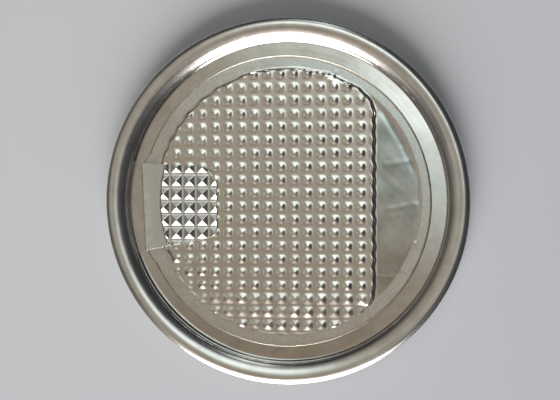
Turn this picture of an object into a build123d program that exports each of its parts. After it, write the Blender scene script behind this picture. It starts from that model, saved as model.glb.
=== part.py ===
from build123d import *
from math import hypot, radians, sin
import os

# Peel-off end for a can: a stamped metal ring with an embossed foil disc
# sealed over its opening. Millimetres, +Z up, with the peeling side up. The
# origin is on the ring's axis, level with the underside of the ring's hem.

# Ring, measured on the face of its sheet that is seen from above
sheet = 0.20
outer_radius = 54.35
aperture_radius = 39.20
hem_width = 1.50
hem_height = 2.00
foot_radius = 0.50
wall_radius = 47.95
recess_depth = 4.70
shoulder_radius = 2.90
crest_radius = 2.70
crest_turn = 35
curl_radius = 1.40
tuck_radius = 0.70
tuck_turn = 80

# Foil disc, which was laid a little off the ring's axis
foil_sheet = 0.08
foil_radius = 43.70
foil_centre = Vector(-0.49, -0.15)

# Embossed field, a low plateau with one straight side, cut off square
field_radius = 39.25
field_right = 26.40
field_corner = 4.00
field_rise = 0.40
field_slope = 45

# Hollow pyramids that stand on the field, in a square grid
cell_pitch = 4.00
cell_phase = Vector(2.32, 1.92)
cell_mouth = 3.10
cell_rise = 0.30
cell_slope = 13
cell_margin = 0.10

# Tab folded back over the foil, with pyramids of its own
fold_radius = 0.45
fold_top = Vector(-44.27, 11.49)
fold_bottom = Vector(-43.23, -14.93)
root_top = Vector(-41.56, 14.66)
root_bottom = Vector(-40.59, -18.35)
root_overlap = 8.00
tab_end = -21.00
tab_end_top = 10.43
tab_end_bottom = -10.75
tab_corner_top = 6.30
tab_corner_bottom = 3.20
tab_pitch = 3.97
tab_cells_middle = Vector(-29.33, 0.12)
tab_columns = 3
tab_rows = 4
tab_cell_rise = 0.42
tab_cell_slope = 18

# Sealing compound lining the underside of the seaming panel
compound_thickness = 0.30
compound_inner_radius = 50.95
compound_width = 1.20
compound_edge = 0.12

crest_height = hem_height + recess_depth
foil_top = hem_height + foil_sheet
field_top = foil_top + field_rise
cell_reach = field_radius - field_rise - cell_margin
cell_limit = field_right - field_rise - cell_margin
leaf_top = hem_height + 2 * fold_radius
leaf_bottom = leaf_top - foil_sheet
cell_taper = 90 - cell_slope
tab_cell_taper = 90 - tab_cell_slope

os.makedirs("parts", exist_ok=True)


# The ring's section runs from the hem's cut edge under the flange, round the
# edge of the opening, along the flange, up the chuck wall, over the seaming
# panel and down into the outer curl.
with BuildPart() as end_ring:
    with BuildSketch(Plane.XZ):
        with BuildLine():
            bend_radius = hem_height / 2
            bend_middle = aperture_radius + bend_radius
            hem = Line((bend_middle + hem_width, 0), (bend_middle, 0))
            bend = JernArc(hem @ 1, hem % 1, bend_radius, -180)
            flange = Line(bend @ 1, (wall_radius - foot_radius, hem_height))
            foot = JernArc(flange @ 1, flange % 1, foot_radius, 90)
            wall = Line(foot @ 1, (wall_radius, crest_height - shoulder_radius))
            shoulder = JernArc(wall @ 1, wall % 1, shoulder_radius, -90)
            crest_reach = crest_radius * sin(radians(crest_turn))
            curl_reach = curl_radius * (1 - sin(radians(crest_turn)))
            panel_end = outer_radius - crest_reach - curl_reach
            panel = Line(shoulder @ 1, (panel_end, crest_height))
            crest = JernArc(panel @ 1, panel % 1, crest_radius, -crest_turn)
            curl = JernArc(crest @ 1, crest % 1, curl_radius, crest_turn - 90)
            JernArc(curl @ 1, curl % 1, tuck_radius, -tuck_turn)
            offset(amount=sheet, side=Side.RIGHT)
        make_face()
    revolve(axis=Axis.Z)


def cells_in_opening():
    """Middles of the pyramids that lie whole inside the ring's opening."""
    count = int(cell_reach / cell_pitch) + 1
    half = cell_mouth / 2
    middles = []
    for column in range(-count, count + 1):
        for row in range(-count, count + 1):
            x = cell_phase.X + column * cell_pitch
            y = cell_phase.Y + row * cell_pitch
            in_reach = hypot(abs(x) + half, abs(y) + half) < cell_reach
            if in_reach and x + half < cell_limit:
                middles.append((x, y))
    return middles


# The disc lies on the flange. The tab's fold stands on a root that widens
# into the disc's edge, and the leaf of the tab lies over the disc, turned
# over by the fold.
with BuildPart() as peel_foil:
    with BuildSketch(Plane.XY.offset(hem_height)):
        with Locations(foil_centre):
            Circle(foil_radius)
    extrude(amount=foil_sheet)

    along_fold = fold_bottom - fold_top
    inward = along_fold.rotate(Axis.Z, 90).normalized()
    leaf_start_top = fold_top + inward * fold_radius
    leaf_start_bottom = fold_bottom + inward * fold_radius
    with BuildSketch(Plane.XY.offset(hem_height)):
        with BuildLine():
            Polyline(
                leaf_start_top,
                root_top,
                root_top + inward * root_overlap,
                root_bottom + inward * root_overlap,
                root_bottom,
                leaf_start_bottom,
                close=True,
            )
        make_face()
    extrude(amount=foil_sheet)

    fold_middle = leaf_start_top + Vector(0, 0, hem_height + fold_radius)
    with BuildSketch(Plane(fold_middle, x_dir=-inward, z_dir=along_fold)):
        Circle(fold_radius)
        Circle(fold_radius - foil_sheet, mode=Mode.SUBTRACT)
        Rectangle(
            2 * fold_radius,
            2 * fold_radius,
            align=(Align.MAX, Align.CENTER),
            mode=Mode.SUBTRACT,
        )
    extrude(amount=along_fold.length)

    with BuildSketch(Plane.XY.offset(leaf_bottom)) as leaf:
        with BuildLine():
            Polyline(
                leaf_start_top,
                (tab_end, tab_end_top),
                (tab_end, tab_end_bottom),
                leaf_start_bottom,
                close=True,
            )
        make_face()
        fillet(leaf.vertices().group_by(Axis.X)[-1].sort_by(Axis.Y)[-1], tab_corner_top)
        fillet(leaf.vertices().group_by(Axis.X)[-1].sort_by(Axis.Y)[0], tab_corner_bottom)
    extrude(amount=foil_sheet)

    # The plateau and each pyramid are the same shape outside and inside, one
    # sheet apart
    with BuildSketch(Plane.XY.offset(foil_top)) as field:
        Circle(field_radius)
        with Locations((field_right, 0)):
            Rectangle(
                2 * field_radius,
                2 * field_radius,
                align=(Align.MIN, Align.CENTER),
                mode=Mode.SUBTRACT,
            )
        fillet(field.vertices(), field_corner)
    extrude(amount=field_rise, taper=field_slope)
    with BuildSketch(Plane.XY.offset(field_top)):
        with Locations(*cells_in_opening()):
            Rectangle(cell_mouth, cell_mouth)
    extrude(amount=cell_rise, taper=cell_taper)
    add(field.sketch.moved(Location((0, 0, -foil_sheet))))
    extrude(amount=field_rise, taper=field_slope, mode=Mode.SUBTRACT)
    with BuildSketch(Plane.XY.offset(field_top - foil_sheet)):
        with Locations(*cells_in_opening()):
            Rectangle(cell_mouth, cell_mouth)
    extrude(amount=cell_rise, taper=cell_taper, mode=Mode.SUBTRACT)

    with BuildSketch(Plane.XY.offset(leaf_top)):
        with Locations(tab_cells_middle):
            with GridLocations(tab_pitch, tab_pitch, tab_columns, tab_rows):
                Rectangle(cell_mouth, cell_mouth)
    extrude(amount=tab_cell_rise, taper=tab_cell_taper)
    with BuildSketch(Plane.XY.offset(leaf_bottom)):
        with Locations(tab_cells_middle):
            with GridLocations(tab_pitch, tab_pitch, tab_columns, tab_rows):
                Rectangle(cell_mouth, cell_mouth)
    extrude(amount=tab_cell_rise, taper=tab_cell_taper, mode=Mode.SUBTRACT)


# The compound is a flat bead on the underside of the seaming panel
with BuildPart() as sealing_compound:
    with BuildSketch(Plane.XY.offset(crest_height - sheet)):
        Circle(compound_inner_radius + compound_width)
        Circle(compound_inner_radius, mode=Mode.SUBTRACT)
    extrude(amount=-compound_thickness)
    chamfer(sealing_compound.faces().sort_by(Axis.Z)[0].edges(), compound_edge)


end_ring.part.label = "end_ring"
peel_foil.part.label = "peel_foil"
sealing_compound.part.label = "sealing_compound"
export_step(end_ring.part, "parts/end_ring.step")
export_step(peel_foil.part, "parts/peel_foil.step")
export_step(sealing_compound.part, "parts/sealing_compound.step")
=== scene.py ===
import math
import bpy
import numpy as np
from mathutils import Matrix, Vector


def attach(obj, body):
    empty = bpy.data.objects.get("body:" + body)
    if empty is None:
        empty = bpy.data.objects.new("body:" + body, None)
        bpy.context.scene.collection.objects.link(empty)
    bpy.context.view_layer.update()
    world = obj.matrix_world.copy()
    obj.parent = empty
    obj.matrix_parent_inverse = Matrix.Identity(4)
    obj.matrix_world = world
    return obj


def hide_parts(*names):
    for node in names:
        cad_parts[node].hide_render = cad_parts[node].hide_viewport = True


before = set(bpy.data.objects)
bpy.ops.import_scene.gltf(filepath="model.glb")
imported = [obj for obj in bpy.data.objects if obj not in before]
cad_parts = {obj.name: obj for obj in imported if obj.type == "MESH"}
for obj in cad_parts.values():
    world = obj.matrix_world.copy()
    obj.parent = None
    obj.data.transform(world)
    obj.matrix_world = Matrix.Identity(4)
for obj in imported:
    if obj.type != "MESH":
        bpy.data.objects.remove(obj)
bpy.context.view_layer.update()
print("frame loaded")

# Lengths in the dictionaries are millimetres, angles are degrees.
mm = 0.001


# ease goes from 0 to 1 as its value does, level at both ends: t squared times (3 - 2t)
def ease(value):
    t = np.clip(value, 0, 1)
    return t * t * (3 - 2 * t)


# The larger of a value and 0, with the corner rounded over a width w:
# half of (value + root of value squared + w squared)
def softPositive(value, width):
    return 0.5 * (value + np.sqrt(value * value + width * width))


# A smooth uneven surface: a sum of sine waves of about one length, in random directions
def unevenness(x, y, length, seed, count=9):
    rng = np.random.default_rng(seed)
    total = np.zeros_like(x)
    for _ in range(count):
        angle, phase = rng.uniform(0, 2 * np.pi, 2)
        number = 2 * np.pi / (length * rng.uniform(0.7, 1.5))
        total += np.sin(number * (x * np.cos(angle) + y * np.sin(angle)) + phase)
    return total / math.sqrt(count)


# A path in a plane, made of straight runs and of turns on arcs. A move is its kind, its
# length or radius, its angle and its number of steps. A point on a turn is its centre
# less the radius times the side direction there. Gives points and headings.
def walkPath(start, heading, moves):
    here = np.array(start, float)
    angle = math.radians(heading)
    points, headings = [here[None]], [np.array([angle])]
    for kind, size, turn, steps in moves:
        share = np.arange(1, steps + 1) / steps
        if kind == "run":
            along = np.array([math.cos(angle), math.sin(angle)])
            part = here + size * share[:, None] * along
            angles = np.full(steps, angle)
        else:
            side = math.copysign(size, turn)
            middle = here + side * np.array([-math.sin(angle), math.cos(angle)])
            angles = angle + math.radians(turn) * share
            part = middle - side * np.stack([-np.sin(angles), np.cos(angles)], 1)
        points.append(part)
        headings.append(angles)
        here, angle = part[-1], angles[-1]
    return np.concatenate(points), np.concatenate(headings)


# A closed section of (radius, height) carried round the Z axis in even steps:
# x = radius cos turn, y = radius sin turn
def turnedSurface(section, steps):
    count = len(section)
    turn = np.arange(steps) * 2 * np.pi / steps
    radius, height = section[:, 0], section[:, 1]
    points = np.stack([
        radius * np.cos(turn)[:, None],
        radius * np.sin(turn)[:, None],
        height + 0 * turn[:, None],
    ], 2).reshape(-1, 3)
    row = np.arange(steps)[:, None] * count
    nextRow = np.roll(row, -1, 0)
    place = np.arange(count)[None]
    nextPlace = np.roll(place, -1, 1)
    corners = [row + place, row + nextPlace, nextRow + nextPlace, nextRow + place]
    return points, np.stack(corners, 2).reshape(-1, 4)


# Puts points in millimetres and faces in a mesh, smooth but for edges sharper than
# an angle, and joins the piece to the frame
def makePiece(name, points, faces, material, node, sharpAngle=40):
    mesh = bpy.data.meshes.new(name)
    mesh.from_pydata((points * mm).tolist(), [], faces)
    mesh.update()
    mesh.shade_smooth()
    mesh.set_sharp_from_angle(angle=math.radians(sharpAngle))
    mesh.materials.append(material)
    piece = bpy.data.objects.new(name, mesh)
    bpy.context.scene.collection.objects.link(piece)
    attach(piece, "root")
    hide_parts(node)
    return piece


# The volume inside a closed mesh of four-cornered faces, by its corners' triple products
def volumeInside(points, faces):
    a, b, c, d = (points[faces[:, k]] for k in range(4))
    first = np.einsum("ij,ij->", a, np.cross(b, c))
    second = np.einsum("ij,ij->", a, np.cross(c, d))
    return (first + second) / 6


def addNode(tree, kind, inputs=None, **settings):
    node = tree.nodes.new(kind)
    for key, value in settings.items():
        setattr(node, key, value)
    for key, value in (inputs or {}).items():
        if isinstance(value, bpy.types.NodeSocket):
            tree.links.new(value, node.inputs[key])
        else:
            node.inputs[key].default_value = value
    return node


def newMaterial(name):
    material = bpy.data.materials.new(name)
    material.use_nodes = True
    tree = material.node_tree
    tree.nodes.clear()
    shader = addNode(tree, "ShaderNodeBsdfPrincipled")
    addNode(tree, "ShaderNodeOutputMaterial", {"Surface": shader.outputs[0]})
    place = addNode(tree, "ShaderNodeTexCoord").outputs["Object"]
    return material, tree, shader, place


def mapRange(tree, value, fromLow, fromHigh, toLow, toHigh, kind="SMOOTHSTEP"):
    return addNode(tree, "ShaderNodeMapRange", {
        "Value": value, "From Min": fromLow, "From Max": fromHigh,
        "To Min": toLow, "To Max": toHigh,
    }, interpolation_type=kind).outputs[0]


def mixColours(tree, factor, first, second):
    sockets = {0: factor, 6: first, 7: second}
    return addNode(tree, "ShaderNodeMix", sockets, data_type="RGBA").outputs[2]


# Where a noise's values are stretched from: all of them, or the upper part for blotches
evenRange = (0.3, 0.7)
blotchRange = (0.35, 0.7)


def noise(tree, place, scale, detail, rough):
    return addNode(tree, "ShaderNodeTexNoise", {
        "Vector": place, "Scale": scale, "Detail": detail, "Roughness": rough,
    }).outputs["Fac"]


def mixNumbers(tree, factor, first, second):
    return addNode(tree, "ShaderNodeMix", {0: factor, 2: first, 3: second}).outputs[0]


def maths(tree, operation, first, second=0):
    return addNode(tree, "ShaderNodeMath", {0: first, 1: second}, operation=operation).outputs[0]


def vectorMaths(tree, operation, first, second):
    return addNode(tree, "ShaderNodeVectorMath", {0: first, 1: second}, operation=operation).outputs[0]


# Numbers in all pieces of one product, multiplied
def product(tree, *factors):
    total = factors[0]
    for factor in factors[1:]:
        total = maths(tree, "MULTIPLY", total, factor)
    return total


# Distance from the Z axis, of a place moved by a centre in millimetres
def reachFrom(tree, place, centre=(0, 0)):
    moved = vectorMaths(tree, "ADD", place, (-centre[0] * mm, -centre[1] * mm, 0))
    flat = vectorMaths(tree, "MULTIPLY", moved, (1, 1, 0))
    return addNode(tree, "ShaderNodeVectorMath", {0: flat}, operation="LENGTH").outputs["Value"]


def bump(tree, height, distance, strength=1.0):
    inputs = {"Height": height, "Distance": distance * mm, "Strength": strength}
    return addNode(tree, "ShaderNodeBump", inputs).outputs[0]


# Joins a changing colour, roughness and normal to a shader, and sets how far it is a metal
def setShader(tree, shader, colour, roughness, normal, metallic=1.0):
    tree.links.new(colour, shader.inputs["Base Color"])
    tree.links.new(roughness, shader.inputs["Roughness"])
    tree.links.new(normal, shader.inputs["Normal"])
    shader.inputs["Metallic"].default_value = metallic


tinplateLook = dict(
    colour=(0.80, 0.78, 0.745, 1),
    dullColour=(0.70, 0.68, 0.64, 1),
    blotchScale=160,
    roughness=(0.10, 0.18),
    rimRoughness=(0.20, 0.28),
    rimFrom=47.8,
    rimFull=49.5,
    lineScale=5200,
    lineWander=0.004,
    lineDepth=0.004,
    lineStrength=0.5,
)


# Bright tinplate with fine lines round the axis, left by the turning of the tool
def makeTinplate(look):
    material, tree, shader, place = newMaterial("stampedTinplate")
    reach = reachFrom(tree, place)
    parts = addNode(tree, "ShaderNodeSeparateXYZ", {0: place})
    section = addNode(tree, "ShaderNodeCombineXYZ", {0: reach, 1: parts.outputs[2]}).outputs[0]
    wander = (look["lineWander"], look["lineWander"], 0)
    laid = vectorMaths(tree, "ADD", section, vectorMaths(tree, "MULTIPLY", place, wander))
    lines = noise(tree, laid, look["lineScale"], 4.0, 0.6)
    blotches = noise(tree, place, look["blotchScale"], 3.0, 0.6)
    dull = mapRange(tree, blotches, *blotchRange, 0, 1)
    atRim = mapRange(tree, reach, look["rimFrom"] * mm, look["rimFull"] * mm, 0, 1)
    flangeRough = mapRange(tree, lines, *evenRange, *look["roughness"])
    rimRough = mapRange(tree, lines, *evenRange, *look["rimRoughness"])
    setShader(tree, shader, mixColours(tree, dull, look["colour"], look["dullColour"]),
              mixNumbers(tree, atRim, flangeRough, rimRough),
              bump(tree, lines, look["lineDepth"], look["lineStrength"]))
    return material


# Places are distances from the ring's axis, or x and y; the edge line's are distances
# inside the disc's edge
foilLook = dict(
    colour=(0.83, 0.80, 0.745, 1),
    dullColour=(0.74, 0.70, 0.64, 1),
    plainReflectionTop=(0.48, 0.535, 0.525, 1),
    plainReflectionLow=(0.47, 0.435, 0.385, 1),
    edgeLineColour=(0.52, 0.42, 0.33, 1),
    sealReflectionTint=(0.72, 0.775, 0.755, 1),
    speckle=(0.50, 0.49, 0.46, 1),
    roughness=(0.17, 0.24),
    sealRoughness=0.30,
    blotchScale=240,
    plainPatchScale=130,
    plainPatchRange=(0.3, 0.62),
    plainPatchStrength=(1.0, 0.55),
    speckleScale=2600,
    speckleRange=(0.36, 0.66),
    speckleShare=0.75,
    mottleScale=1700,
    mottleDepth=0.030,
    mottleOffSeal=0.015,
    sealFrom=40.1,
    sealFull=40.8,
    openingFull=39.1,
    openingEnd=39.8,
    plainFrom=26.9,
    plainFull=27.3,
    plainLowY=-22,
    plainTopY=8,
    edgeLineFrom=0.78,
    edgeLineFull=0.55,
    edgeLineWanes=0.18,
    edgeLineEnd=0.06,
    edgeLineFaintX=-16,
    edgeLineStrongX=14,
    edgeLineStrength=(0.12, 0.9),
    coolFromY=-14,
    coolFullY=8,
    coolFromX=-18,
    coolFullX=6,
    coolShare=0.9,
    rootMiddleY=-1.8,
    rootHalf=16.4,
    rootEnd=17.2,
    rootFromX=-39.5,
    rootEndX=-38.5,
)


# Rolled foil, mottled where the sealing tool pressed it on the ring, with a brown line
# just inside its cut edge, which is faint on the tab's side. Painted reflections tint it:
# cool on the seal band towards the top and right, and in the plain part a darker tone,
# cool above and warm below
def makeFoil(look):
    material, tree, shader, place = newMaterial("embossedFoil")

    def fade(value, start, end, low=0, high=1):
        return mapRange(tree, value, start * mm, end * mm, low, high)

    reach = reachFrom(tree, place)
    reachOff = reachFrom(tree, place, disc["centre"])
    parts = addNode(tree, "ShaderNodeSeparateXYZ", {0: place})
    x, y = parts.outputs[0], parts.outputs[1]
    edge = disc["radius"]
    sealed = fade(reach, look["sealFrom"], look["sealFull"])
    # A brown line just inside the disc's cut edge, faint towards the tab's side
    edgeLineIn = fade(reachOff, edge - look["edgeLineFrom"], edge - look["edgeLineFull"])
    edgeLineOut = fade(reachOff, edge - look["edgeLineWanes"], edge - look["edgeLineEnd"], 1, 0)
    pastRoot = fade(x, look["rootFromX"], look["rootEndX"])
    acrossRoot = maths(tree, "ABSOLUTE", maths(tree, "ADD", y, -look["rootMiddleY"] * mm))
    besideRoot = fade(acrossRoot, look["rootHalf"], look["rootEnd"])
    awayFromTab = maths(tree, "MAXIMUM", pastRoot, besideRoot)
    strength = fade(x, look["edgeLineFaintX"], look["edgeLineStrongX"], *look["edgeLineStrength"])
    edgeLine = product(tree, edgeLineIn, edgeLineOut, awayFromTab, strength)
    blotches = noise(tree, place, look["blotchScale"], 4.0, 0.6)
    plainPatches = noise(tree, place, look["plainPatchScale"], 3.0, 0.55)
    mottle = noise(tree, place, look["mottleScale"], 3.0, 0.6)
    dull = mapRange(tree, blotches, *blotchRange, 0, 1)
    bright = mixColours(tree, dull, look["colour"], look["dullColour"])
    # Painted reflection: the seal band is tinted cool green-silver towards the top and right
    coolReflection = product(tree, sealed, fade(y, look["coolFromY"], look["coolFullY"], 0, look["coolShare"]),
                   fade(x, look["coolFromX"], look["coolFullX"]))
    bright = mixColours(tree, coolReflection, bright, look["sealReflectionTint"])
    specks = noise(tree, place, look["speckleScale"], 3.0, 0.7)
    specks = mapRange(tree, specks, *look["speckleRange"], 0, look["speckleShare"])
    bright = mixColours(tree, product(tree, sealed, specks), bright, look["speckle"])
    # Painted reflection in the plain part: a darker tone, cool above and warm below, laid on in patches
    # of random strength
    up = fade(y, look["plainLowY"], look["plainTopY"])
    plainReflection = mixColours(tree, up, look["plainReflectionLow"], look["plainReflectionTop"])
    inOpening = fade(reach, look["openingFull"], look["openingEnd"], 1, 0)
    besideField = fade(x, look["plainFrom"], look["plainFull"])
    plainPatchShare = mapRange(tree, plainPatches, *look["plainPatchRange"], *look["plainPatchStrength"])
    withPlain = mixColours(tree, product(tree, inOpening, besideField, plainPatchShare), bright, plainReflection)
    even = mapRange(tree, blotches, *evenRange, *look["roughness"])
    depth = mapRange(tree, sealed, 0, 1, look["mottleOffSeal"], 1.0, "LINEAR")
    setShader(tree, shader, mixColours(tree, edgeLine, withPlain, look["edgeLineColour"]),
              mixNumbers(tree, sealed, even, look["sealRoughness"]),
              bump(tree, product(tree, mottle, depth), look["mottleDepth"]))
    return material


foilBackLook = dict(
    colour=(0.84, 0.83, 0.80, 1),
    dullColour=(0.76, 0.75, 0.72, 1),
    roughness=(0.22, 0.30),
    blotchScale=300,
    grainScale=2200,
    grainDepth=0.00016,
)


# The foil's other side, with its clear lacquer
def makeFoilBack(look):
    material, tree, shader, place = newMaterial("lacqueredFoilBack")
    blotches = noise(tree, place, look["blotchScale"], 4.0, 0.6)
    dull = mapRange(tree, blotches, *blotchRange, 0, 1)
    grain = noise(tree, place, look["grainScale"], 2.0, 0.5)
    setShader(tree, shader, mixColours(tree, dull, look["colour"], look["dullColour"]),
              mapRange(tree, blotches, *evenRange, *look["roughness"]),
              bump(tree, grain, look["grainDepth"]))
    return material


compoundLook = dict(
    colour=(0.40, 0.43, 0.42, 1),
    darkColour=(0.30, 0.33, 0.32, 1),
    roughness=(0.55, 0.75),
    blotchScale=900,
    blotchDepth=0.03,
    blotchStrength=0.6,
)


# The cured lining, matt and a little uneven
def makeCompound(look):
    material, tree, shader, place = newMaterial("curedCompound")
    blotches = noise(tree, place, look["blotchScale"], 4.0, 0.6)
    setShader(tree, shader, mixColours(tree, blotches, look["colour"], look["darkColour"]),
              mapRange(tree, blotches, *evenRange, *look["roughness"]),
              bump(tree, blotches, look["blotchDepth"], look["blotchStrength"]), metallic=0.0)
    return material


ring = dict(
    sheet=0.20,
    hemStart=(41.70, 0.0),
    hemWidth=1.50,
    bendRadius=1.00,
    flangeWidth=7.25,
    flangeFall=1.8,
    footRadius=0.50,
    wallHeight=1.67,
    shoulderRadius=2.00,
    shoulderTurn=55,
    panelRadius=6.20,
    crestRadius=2.95,
    crestTurn=38,
    curlRadius=0.50,
    tuckRadius=0.70,
    tuckTurn=80,
    edgeBand=0.05,
    stepsAround=480,
)


# The face seen from above as a path from the hem's cut edge to the curl's, and the
# other face one sheet to its right, joined at both cut edges. A narrow band at each end
# of a straight part keeps the shading of that part even.
def ringSection(r):
    band = r["edgeBand"]
    moves = [
        ("run", r["hemWidth"], 0, 3),
        ("turn", r["bendRadius"], -180 - r["flangeFall"], 20),
        ("run", band, 0, 1),
        ("run", r["flangeWidth"] - 2 * band, 0, 3),
        ("run", band, 0, 1),
        ("turn", r["footRadius"], 90 + r["flangeFall"], 8),
        ("run", band, 0, 1),
        ("run", r["wallHeight"] - 2 * band, 0, 1),
        ("run", band, 0, 1),
        ("turn", r["shoulderRadius"], -r["shoulderTurn"], 11),
        ("turn", r["panelRadius"], r["shoulderTurn"] - 90, 12),
        ("turn", r["crestRadius"], -r["crestTurn"], 10),
        ("turn", r["curlRadius"], r["crestTurn"] - 90, 8),
        ("turn", r["tuckRadius"], -r["tuckTurn"], 8),
    ]
    points, headings = walkPath(r["hemStart"], 180, moves)
    right = np.stack([np.sin(headings), -np.cos(headings)], 1)
    return np.concatenate([points, (points + r["sheet"] * right)[::-1]])


def makeRing(r, material):
    points, faces = turnedSurface(ringSection(r), r["stepsAround"])
    if volumeInside(points, faces) < 0:
        faces = faces[:, ::-1]
    return makePiece("ringShell", points, faces.tolist(), material, "end_ring")


bead = dict(
    inner=50.95,
    width=1.20,
    thickness=0.30,
    round=0.13,
    archMiddle=(52.36, 0.50),
    archRadius=6.00,
    stepsAround=240,
)


# The bead's flat section is bent onto the arch of the panel's underside: its length goes
# to the angle round the arch's middle and its depth to the distance inside the arch
def makeBead(b, material):
    straight = b["width"] - 2 * b["round"]
    moves = [
        ("run", b["thickness"] - b["round"], 0, 2),
        ("turn", b["round"], 90, 5),
        ("run", straight, 0, 4),
        ("turn", b["round"], 90, 5),
        ("run", b["thickness"] - b["round"], 0, 2),
    ]
    section, _ = walkPath((b["inner"], 0), -90, moves)
    middle, height = b["archMiddle"]
    angle = (section[:, 0] - middle) / b["archRadius"]
    away = b["archRadius"] + section[:, 1]
    section = np.stack([middle + away * np.sin(angle), height + away * np.cos(angle)], 1)
    points, faces = turnedSurface(section, b["stepsAround"])
    if volumeInside(points, faces) < 0:
        faces = faces[:, ::-1]
    faces = faces.tolist()
    return makePiece("compoundBead", points, faces, material, "sealing_compound", 60)


disc = dict(
    radius=43.70,
    centre=(-0.49, -0.15),
    top=2.08,
    sheet=0.08,
    rootTop=(-41.56, 14.66),
    rootBottom=(-40.59, -18.35),
    hemMiddle=40.20,
    hemRadius=1.08,
    hemReach=0.75,
    hemBlend=2,
    sag=0.10,
    gridHalf=46,
    cutsPerCell=11,
    borderGap=0.35,
    edgeSamples=60,
)
field = dict(
    radius=40.35,
    right=26.75,
    corner=3.5,
    rise=0.40,
    wallRun=1.25,
    lowRun=8.0,
    lowFrom=0.30,
    lowBlend=0.40,
    lowRight=2,
    lowRightBlend=6,
    plainBlend=1.5,
    scallop=0.10,
)
cell = dict(
    pitch=(4.00, 3.954),
    phase=(2.32, 2.40),
    power=3.2,
    cover=0.72,
    lowCover=0.20,
    lowFrom=-25.5,
    lowBlend=3,
    lowFlatter=0.24,
    slope=15.0,
    tip=0.04,
    rim=0.035,
    edgeGap=0.35,
    lowEdgeGap=0.10,
    edgeBlend=0.55,
    lean=0.06,
    uneven=0.16,
    seed=21,
)
fold = dict(
    radius=0.45,
    top=(-44.27, 11.49),
    bottom=(-43.23, -14.93),
)
# Creases and soft rises in the plain part: from, to, half width and height
creases = [
    ((33.83, -20.67), (38.00, -12.20), 0.35, 0.16),
    ((35.31, -26.90), (36.78, -24.21), 0.40, 0.09),
    ((26.90, -22.20), (31.60, -22.40), 0.40, 0.03),
    ((29.69, 10.77), (37.64, 12.22), 0.80, 0.045),
    ((30.28, -2.28), (38.24, -0.78), 0.80, 0.045),
    ((28.60, 26.40), (34.20, 16.90), 0.70, -0.045),
    ((34.20, 16.90), (37.60, 9.30), 0.60, -0.040),
]
crumple = dict(middle=(14.28, 36.97), reach=2.0, edge=1.4, length=2.0, height=0.07, seed=8)
# Soft waves in the sheet: height, length and seed
waves = dict(
    fieldEdge=(0.08, 5, 11),
    sag=(0.02, 9, 5),
    field=(0.004, 14, 3),
    plainLong=(0.016, 11, 17),
    plainShort=(0.004, 3.5, 18),
)


def wave(x, y, kind):
    height, length, seed = waves[kind]
    return height * unevenness(x, y, length, seed)


def foldLine(f):
    top, bottom = np.array(f["top"]), np.array(f["bottom"])
    along = (bottom - top) / np.linalg.norm(bottom - top)
    inward = np.array([-along[1], along[0]])
    return top + f["radius"] * inward, bottom + f["radius"] * inward, inward


# The disc's reach from its centre at each direction: its radius, and near the tab the
# distance to the lines that flare out to the fold
def discReach(x, y):
    cx, cy = disc["centre"]
    foldTop, foldBottom, _ = foldLine(fold)
    corners = np.array([disc["rootTop"], foldTop, foldBottom, disc["rootBottom"]])
    share = np.linspace(0, 1, disc["edgeSamples"])[:, None]
    line = np.concatenate([a + share * (b - a) for a, b in zip(corners[:-1], corners[1:])])
    lineAngle = np.arctan2(line[:, 1] - cy, line[:, 0] - cx) % (2 * np.pi)
    lineReach = np.hypot(line[:, 0] - cx, line[:, 1] - cy)
    order = np.argsort(lineAngle)
    angle = np.arctan2(y - cy, x - cx) % (2 * np.pi)
    radius = disc["radius"]
    return np.interp(angle, lineAngle[order], lineReach[order], left=radius, right=radius)


# How far a point lies outside the embossed field (negative inside): a circle cut by a
# straight line, with their corner rounded
def outsideField(x, y, f):
    toCircle = np.hypot(x, y) - f["radius"] + f["corner"]
    toLine = x - f["right"] + f["corner"]
    near = np.minimum(np.maximum(toCircle, toLine), 0)
    return near + np.hypot(np.maximum(toCircle, 0), np.maximum(toLine, 0)) - f["corner"]


# Height of the pyramids: a cone over a rounded square (the power mean of the
# distances to the cell's middle), with a rounded tip and rim. Each pyramid is a little
# off its place and off its height, by numbers drawn once for every cell, and the lowest
# rows are wider and flatter.
def cellRise(x, y, c):
    pitchX, pitchY = c["pitch"]
    column = np.round((x - c["phase"][0]) / pitchX)
    row = np.round((y - c["phase"][1]) / pitchY)
    middleCell = 14
    rng = np.random.default_rng(c["seed"])
    drawn = rng.uniform(-1, 1, (3, 2 * middleCell, 2 * middleCell))
    drawn = drawn[:, column.astype(int) + middleCell, row.astype(int) + middleCell]
    leanX, leanY, uneven = drawn
    u = 2 * np.abs(x - c["phase"][0] - pitchX * column - c["lean"] * leanX) / pitchX
    v = 2 * np.abs(y - c["phase"][1] - pitchY * row - c["lean"] * leanY) / pitchY
    away = (u ** c["power"] + v ** c["power"]) ** (1 / c["power"])
    low = ease((c["lowFrom"] - c["phase"][1] - pitchY * row) / c["lowBlend"])
    cover = c["cover"] + c["lowCover"] * low
    cone = softPositive(cover - np.sqrt(away ** 2 + c["tip"] ** 2), c["rim"])
    steepness = math.tan(math.radians(c["slope"])) * (1 + c["uneven"] * uneven - c["lowFlatter"] * low)
    return steepness * pitchX / 2 * cone


# A rounded ridge along a straight line: its height falls off as the bell curve of the
# distance from the line over its half width
def ridge(x, y, start, end, width, height):
    start, end = np.array(start), np.array(end)
    along = end - start
    share = np.clip(((x - start[0]) * along[0] + (y - start[1]) * along[1]) / (along @ along), 0, 1)
    away = np.hypot(x - start[0] - share * along[0], y - start[1] - share * along[1])
    return height * np.exp(-(away / width) ** 2)


# How far the flange has fallen at a distance from the axis
def flangeDrop(reach):
    return np.maximum(reach - disc["hemMiddle"], 0) * math.tan(math.radians(ring["flangeFall"]))


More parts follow.
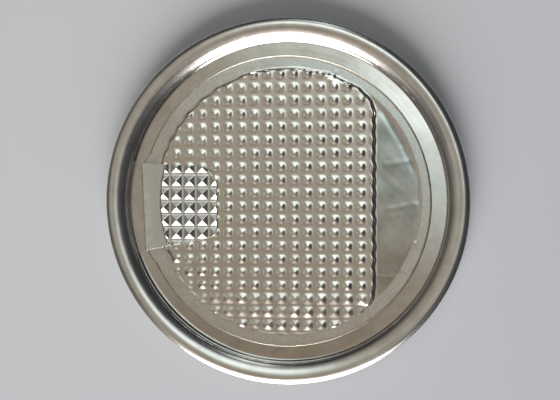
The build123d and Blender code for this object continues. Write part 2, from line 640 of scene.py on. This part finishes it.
# Height of the foil's public face over the ring and the opening: the flange's fall, the
# sag inside the hem, the raised field with its pyramids, and the creases
def foilHeight(x, y):
    reach = np.hypot(x, y)
    rows = np.cos(2 * np.pi * (y - cell["phase"][1]) / cell["pitch"][1])
    outside = outsideField(x, y, field) + wave(x, y, "fieldEdge") - field["scallop"] * rows
    # the wall gives way to a long slope on the low side
    low = ease((-y / np.maximum(reach, 1) - field["lowFrom"]) / field["lowBlend"])
    low = low * ease((field["right"] - field["lowRight"] - x) / field["lowRightBlend"])
    raised = ease(-outside / (field["wallRun"] + low * field["lowRun"]))
    inHem = np.clip(disc["hemMiddle"] - reach, 0, disc["hemReach"])
    hemDrop = disc["hemRadius"] - np.sqrt(disc["hemRadius"] ** 2 - inHem ** 2)
    sag = np.minimum(hemDrop, disc["sag"] + wave(x, y, "sag")) * (1 - raised)
    height = disc["top"] - flangeDrop(reach) - sag + field["rise"] * raised
    gap = cell["edgeGap"] + low * (cell["lowEdgeGap"] - cell["edgeGap"])
    cells = ease((-outside - gap) / cell["edgeBlend"])
    height = height + cells * cellRise(x, y, cell)
    height = height + ease(-outside / field["plainBlend"]) * wave(x, y, "field")
    plain = ease(outside / field["plainBlend"]) * ease((disc["hemMiddle"] - reach) / disc["hemBlend"])
    height = height + plain * (wave(x, y, "plainLong") + wave(x, y, "plainShort"))
    for crease in creases:
        height = height + ridge(x, y, *crease)
    cx, cy = crumple["middle"]
    crumpled = ease(crumple["edge"] - np.hypot(x - cx, y - cy) / crumple["reach"])
    rough = unevenness(x, y, crumple["length"], crumple["seed"])
    return height + crumpled * crumple["height"] * rough


# Square grid faces whose middle is inside the outline, with triangles in the border's
# inner corners; border points are moved out along their ray to the outline
def makeDisc(material):
    step = cell["pitch"][0] / disc["cutsPerCell"]
    count = int(disc["gridHalf"] / step) + 1
    line = np.arange(-count, count + 1) * step
    x, y = np.meshgrid(line + cell["phase"][0], line + cell["phase"][1], indexing="ij")
    cx, cy = disc["centre"]
    middleX, middleY = x[:-1, :-1] + step / 2, y[:-1, :-1] + step / 2
    inside = discReach(middleX, middleY) - np.hypot(middleX - cx, middleY - cy)
    keep = inside > disc["borderGap"] * step
    number = np.arange(x.size).reshape(x.shape)
    corner = [number[:-1, :-1], number[1:, :-1], number[1:, 1:], number[:-1, 1:]]
    quads = np.stack([k[keep] for k in corner], 1)
    padded = np.pad(keep, 1)
    left, right = padded[:-2, 1:-1], padded[2:, 1:-1]
    below, above = padded[1:-1, :-2], padded[1:-1, 2:]
    triangles = []
    for sideA, sideB, k in ((left, below, 0), (below, right, 1), (right, above, 2), (above, left, 3)):
        gap = ~keep & sideA & sideB
        corners = [corner[k][gap], corner[(k + 1) % 4][gap], corner[(k - 1) % 4][gap]]
        triangles.append(np.stack(corners, 1))
    triangles = np.concatenate(triangles)
    numbers = np.concatenate([quads.ravel(), triangles.ravel()])
    used, compact = np.unique(numbers, return_inverse=True)
    triangles = compact[quads.size:].reshape(-1, 3)
    quads = compact[:quads.size].reshape(-1, 4)
    px, py = x.ravel()[used], y.ravel()[used]
    touching = np.bincount(quads.ravel(), minlength=len(used))
    border = touching < 3
    scale = np.where(border, discReach(px, py) / np.hypot(px - cx, py - cy), 1)
    px, py = cx + (px - cx) * scale, cy + (py - cy) * scale
    points = np.stack([px, py, foilHeight(px, py)], 1)
    faces = quads.tolist() + triangles.tolist()
    piece = makePiece("foilDisc", points, faces, material, "peel_foil", 60)
    giveSheet(piece, disc["sheet"])
    return piece


def giveSheet(piece, thickness):
    solid = piece.modifiers.new("sheet", "SOLIDIFY")
    solid.thickness = thickness * mm
    solid.offset = -1
    solid.use_rim = True


tab = dict(
    cornerStart=(-23.60, -11.00),
    cornerHeading=9,
    bottomCorner=3.20,
    endRun=12.27,
    topCorner=6.20,
    topCornerTurn=87.5,
    endSteps=(20, 80, 44),
    leafTop=2.90,
    crown=0.30,
    crownRun=5.0,
    fieldCentre=(1.80, 0.0),
    fieldRadius=40.30,
    fieldRise=0.22,
    fieldWall=0.45,
    pitch=3.97,
    phase=(-29.33, 2.25),
    baseHalf=1.74,
    slope=21.0,
    tip=0.04,
    stepsAlong=140,
    stepsRound=16,
)


# How far a point lies from the middle of its square on the tab, to the right and up
def fromCell(x, y, t):
    half = t["pitch"] / 2
    u = (x - t["phase"][0] + half) % t["pitch"] - half
    v = (y - t["phase"][1] + half) % t["pitch"] - half
    return u, v


# Height of the tab's leaf over its flat: a step up to the embossed part, and
# pyramids, whose height falls evenly from the middle to the sides of a square
def tabRise(x, y, t):
    outside = np.hypot(x - t["fieldCentre"][0], y - t["fieldCentre"][1]) - t["fieldRadius"]
    step = ease(-outside / t["fieldWall"])
    u, v = fromCell(x, y, t)
    pyramid = softPositive(t["baseHalf"] - np.maximum(np.abs(u), np.abs(v)), t["tip"])
    return t["fieldRise"] * step + step * math.tan(math.radians(t["slope"])) * pyramid


# The tab is a strip: each of its lines goes round the fold on an arc, rises a little
# more, and runs straight on over the disc to the tab's rounded end
def makeTab(material):
    t = tab
    end, _ = walkPath(t["cornerStart"], t["cornerHeading"], [
        ("turn", t["bottomCorner"], 90 - t["cornerHeading"], t["endSteps"][0]),
        ("run", t["endRun"], 0, t["endSteps"][1]),
        ("turn", t["topCorner"], t["topCornerTurn"], t["endSteps"][2]),
    ])
    share = (end[:, 1] - end[0, 1]) / (end[-1, 1] - end[0, 1])
    foldTop, foldBottom, inward = foldLine(fold)
    start = foldBottom + share[:, None] * (foldTop - foldBottom)
    along = np.linspace(0, 1, t["stepsAlong"] + 1)[:, None, None]
    flat = start + along * (end - start)
    fromFold = np.clip(np.linalg.norm(flat - start, axis=2) / t["crownRun"], 0, 1)
    crown = t["crown"] * (1 - (1 - fromFold) ** 2)
    leafHeight = t["leafTop"] + crown + tabRise(flat[..., 0], flat[..., 1], t)
    leaf = np.concatenate([flat, leafHeight[..., None]], 2)
    turn = np.radians(np.linspace(-90, 90, t["stepsRound"] + 1)[:-1])[:, None, None]
    outward = -inward * fold["radius"]
    bend = start + np.cos(turn) * outward
    bendHeight = t["leafTop"] - fold["radius"] + np.sin(turn) * fold["radius"] + 0 * bend[..., :1]
    footDrop = flangeDrop(np.hypot(start[:, 0], start[:, 1]))[:, None]
    bendHeight = bendHeight - (1 - np.sin(turn)) / 2 * footDrop
    bend = np.concatenate([bend, bendHeight], 2)
    points = np.concatenate([bend, leaf])
    rows, columns = points.shape[:2]
    number = np.arange(rows * columns).reshape(rows, columns)
    quad = number[:-1, :-1], number[1:, :-1], number[1:, 1:], number[:-1, 1:]
    a, b, c, d = (k.ravel() for k in quad)
    points = points.reshape(-1, 3)
    # each four-cornered face is cut along the diagonal that follows the pyramid's edge
    middle = points[a] / 2 + points[c] / 2
    u, v = fromCell(middle[:, 0], middle[:, 1], t)
    rising = (u * v > 0)[:, None]
    one = np.where(rising, np.stack([a, b, c], 1), np.stack([a, b, d], 1))
    two = np.where(rising, np.stack([a, c, d], 1), np.stack([b, c, d], 1))
    faces = np.concatenate([one, two])
    piece = makePiece("foilTab", points, faces.tolist(), material, "peel_foil", 60)
    giveSheet(piece, disc["sheet"])
    return piece


floorLook = dict(
    litSideColour=(0.645, 0.655, 0.690, 1),
    shadedSideColour=(0.530, 0.545, 0.605, 1),
    patch=(0.58, 0.59, 0.62, 1),
    patchScale=6,
    patchShare=0.3,
    sideFrom=-120,
    sideTo=140,
    roughness=0.7,
    half=1500.0,
    low=-0.02,
)


# A pale sheet, with painted shade: its colour darkens and turns bluer away from the window's side
def makeFloor(look):
    material, tree, shader, place = newMaterial("paleFloor")
    parts = addNode(tree, "ShaderNodeSeparateXYZ", {0: place})
    # Painted shade: the floor's colour falls off from the lit side to the far side
    side = maths(tree, "SUBTRACT", parts.outputs[0], parts.outputs[1])
    shadeShare = mapRange(tree, side, look["sideFrom"] * mm, look["sideTo"] * mm, 0, 1, "LINEAR")
    paintedFalloff = mixColours(tree, shadeShare, look["litSideColour"], look["shadedSideColour"])
    uneven = noise(tree, place, look["patchScale"], 2.0, 0.5)
    patches = mapRange(tree, uneven, *evenRange, 0, look["patchShare"])
    tree.links.new(mixColours(tree, patches, paintedFalloff, look["patch"]), shader.inputs["Base Color"])
    shader.inputs["Roughness"].default_value = look["roughness"]
    half, low = look["half"], look["low"]
    points = np.array([[-half, -half, low], [half, -half, low], [half, half, low], [-half, half, low]])
    mesh = bpy.data.meshes.new("floor")
    mesh.from_pydata((points * mm).tolist(), [], [[0, 1, 2, 3]])
    mesh.materials.append(material)
    floor = bpy.data.objects.new("floor", mesh)
    bpy.context.scene.collection.objects.link(floor)


# A direction from its tilt away from straight up and its turn from +X
def direction(tilt, turn):
    t, a = math.radians(tilt), math.radians(turn)
    return Vector((math.sin(t) * math.cos(a), math.sin(t) * math.sin(a), math.cos(t)))


# Distances and sizes of the lamp in metres
softbox = dict(
    tilt=76,
    turn=-95,
    away=2.5,
    across=2.9,
    up=3.4,
    radiance=7.6,
    colour=(1.0, 0.985, 0.96),
)


# A round softbox that faces the object; its power is its brightness times pi times its
# face
def makeLamp(l):
    data = bpy.data.lights.new("softbox", "AREA")
    data.shape = "ELLIPSE"
    data.size, data.size_y = l["across"], l["up"]
    data.energy = l["radiance"] * math.pi * math.pi / 4 * l["across"] * l["up"]
    data.color = l["colour"]
    lamp = bpy.data.objects.new("softbox", data)
    away = direction(l["tilt"], l["turn"])
    facing = away.to_track_quat("Z", "Y").to_matrix().to_4x4()
    lamp.matrix_world = Matrix.Translation(away * l["away"]) @ facing
    bpy.context.scene.collection.objects.link(lamp)


# The room as the metal sees it: soft patches of light and shade on a base colour, each
# at a direction, with the angles where it is full and where it ends
roomColour = (0.33, 0.29, 0.24, 1)
darkSide = (0.035, 0.035, 0.042, 1)
dimSide = (0.09, 0.088, 0.085, 1)
window = (1.35, 1.50, 1.50, 1)
roomPatches = [
    dict(tilt=95, turn=180, full=32, ends=52, colour=dimSide),
    dict(tilt=95, turn=215, full=28, ends=46, colour=dimSide),
    dict(tilt=95, turn=135, full=38, ends=54, colour=dimSide),
    dict(tilt=16, turn=238, full=4, ends=12, colour=(0.26, 0.215, 0.165, 1)),
    dict(tilt=28, turn=187, full=6, ends=9, colour=(0.44, 0.48, 0.43, 1)),
    dict(tilt=29, turn=-102, full=4, ends=10, colour=(0.62, 0.53, 0.47, 1)),
    dict(tilt=5.5, turn=10, full=3, ends=7.5, colour=(0.60, 0.66, 0.64, 1)),
    dict(tilt=12, turn=63, full=5.5, ends=10, colour=window),
    dict(tilt=11, turn=122, full=3, ends=7, colour=(0.50, 0.52, 0.45, 1)),
    dict(tilt=20, turn=103, full=5, ends=9, colour=window),
    dict(tilt=25, turn=85, full=7, ends=12, colour=window),
    dict(tilt=32, turn=100, full=6, ends=11, colour=window),
    dict(tilt=95, turn=-45, full=40, ends=62, colour=darkSide),
    dict(tilt=95, turn=-12, full=73, ends=84, colour=darkSide),
    dict(tilt=95, turn=25, full=70, ends=79, colour=darkSide),
    dict(tilt=95, turn=62, full=50, ends=61, colour=darkSide),
    dict(tilt=95, turn=100, full=42, ends=52, colour=darkSide),
    dict(tilt=85, turn=0, full=6, ends=26, colour=(0.13, 0.13, 0.13, 1)),
    dict(tilt=43, turn=104, full=5, ends=8, colour=(0.30, 0.31, 0.28, 1)),
    dict(tilt=55, turn=85, full=5, ends=9, colour=window),
    dict(tilt=45, turn=208, full=5, ends=13, colour=(0.06, 0.06, 0.08, 1)),
]


def makeRoom():
    world = bpy.data.worlds.new("room")
    bpy.context.scene.world = world
    world.use_nodes = True
    tree = world.node_tree
    tree.nodes.clear()
    look = addNode(tree, "ShaderNodeTexCoord").outputs["Generated"]
    colour = roomColour
    for p in roomPatches:
        towards = {0: look, 1: direction(p["tilt"], p["turn"])}
        close = addNode(tree, "ShaderNodeVectorMath", towards, operation="DOT_PRODUCT").outputs["Value"]
        ends, full = math.cos(math.radians(p["ends"])), math.cos(math.radians(p["full"]))
        colour = mixColours(tree, mapRange(tree, close, ends, full, 0, 1), colour, p["colour"])
    background = addNode(tree, "ShaderNodeBackground", {"Color": colour, "Strength": 1.0})
    addNode(tree, "ShaderNodeOutputWorld", {"Surface": background.outputs[0]})


view = dict(
    tilt=7.1,
    turn=11.6,
    roll=-0.13,
    away=351,
    aim=(-1.98, 0.37, 2.0),
    lens=75.25,
    sensor=36,
    clip=(10, 10000),
)


def makeCamera(v):
    data = bpy.data.cameras.new("camera")
    data.lens, data.sensor_width = v["lens"], v["sensor"]
    data.clip_start, data.clip_end = v["clip"][0] * mm, v["clip"][1] * mm
    camera = bpy.data.objects.new("camera", data)
    back = direction(v["tilt"], v["turn"])
    right = Vector((0, 1, 0)).cross(back).normalized()
    up = back.cross(right)
    roll = Matrix.Rotation(math.radians(v["roll"]), 4, "Z")
    turned = Matrix((right, up, back)).transposed().to_4x4() @ roll
    camera.matrix_world = Matrix.Translation((Vector(v["aim"]) + back * v["away"]) * mm) @ turned
    bpy.context.scene.collection.objects.link(camera)
    bpy.context.scene.camera = camera


tinplate = makeTinplate(tinplateLook)
foilFace = makeFoil(foilLook)
foilBack = makeFoilBack(foilBackLook)
makeRing(ring, tinplate)
print("ring made")
makeBead(bead, makeCompound(compoundLook))
print("compound made")
makeDisc(foilFace)
print("foil disc made")
makeTab(foilBack)
print("pull tab made")
makeFloor(floorLook)
makeLamp(softbox)
makeRoom()
makeCamera(view)
bpy.context.scene.view_settings.view_transform = "Standard"
print("stage, light and camera made")
